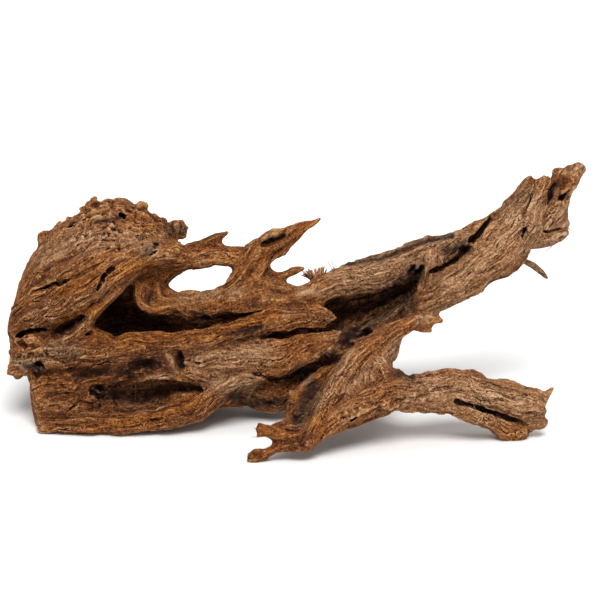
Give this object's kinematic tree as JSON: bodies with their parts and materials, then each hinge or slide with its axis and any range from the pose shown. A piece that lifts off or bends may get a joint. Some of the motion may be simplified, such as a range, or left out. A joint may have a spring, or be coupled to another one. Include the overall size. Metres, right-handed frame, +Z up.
{
  "type": "mangrove root",
  "caption": "Gnarled driftwood root with a thick hollow stock, a see-through window, a long forked arm and a low leg with a limb.",
  "frame": {"origin": "centre of the bounding box, on the ground that the root rests on", "axes": "+X along the root from the stock to the arm's tip, -Y towards the side seen in the picture, +Z up"},
  "size_m": [0.5865, 0.2464, 0.2442],
  "materials": {
    "driftwood": "weathered, dry, fibrous, matt"
  },
  "bodies": {
    "root": {"mangrove_root": "driftwood"}
  },
  "joints": []
}
